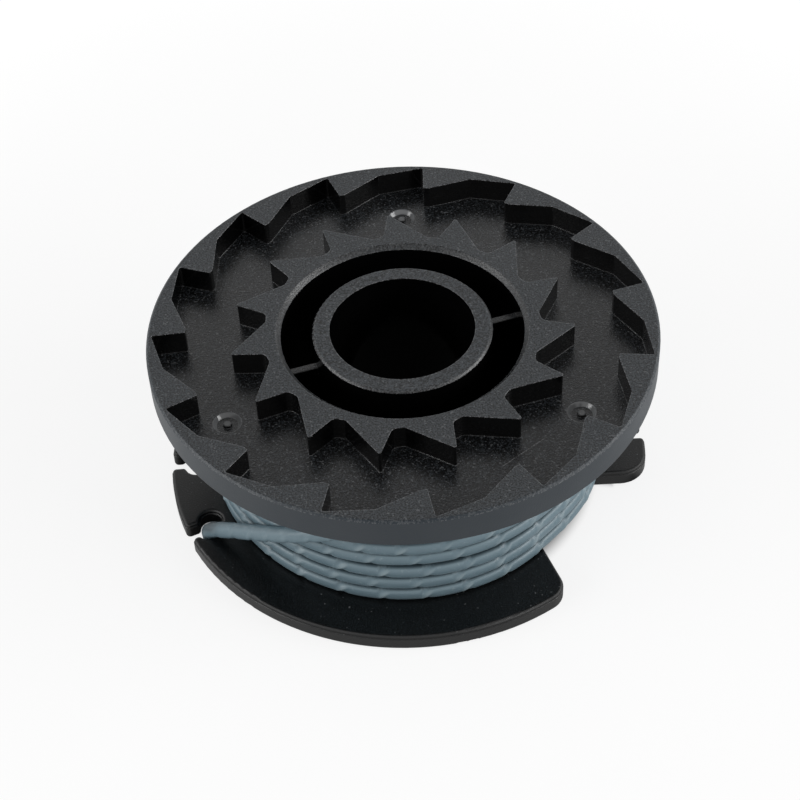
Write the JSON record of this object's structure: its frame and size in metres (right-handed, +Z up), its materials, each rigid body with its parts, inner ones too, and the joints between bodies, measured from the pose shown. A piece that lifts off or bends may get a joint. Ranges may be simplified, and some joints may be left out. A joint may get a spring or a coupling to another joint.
{
  "type": "trimmer line spool",
  "caption": "Round trimmer line spool with saw-tooth ratchet rings in its top face, a plain hub bore, a lobed lower flange with line notches, and twisted line wound on the drum.",
  "frame": {"origin": "on the bore axis, in the plane of the lower flange's underside", "axes": "+Z up along the bore to the toothed face, -Y towards the picture's camera"},
  "size_m": [0.06, 0.06, 0.023],
  "materials": {
    "spool_body": "matte moulded top, satin recess floor",
    "trimmer_line": "satin twisted monofilament"
  },
  "bodies": {
    "root": {"spool_body": "spool_body", "trimmer_line": "trimmer_line"}
  },
  "joints": []
}
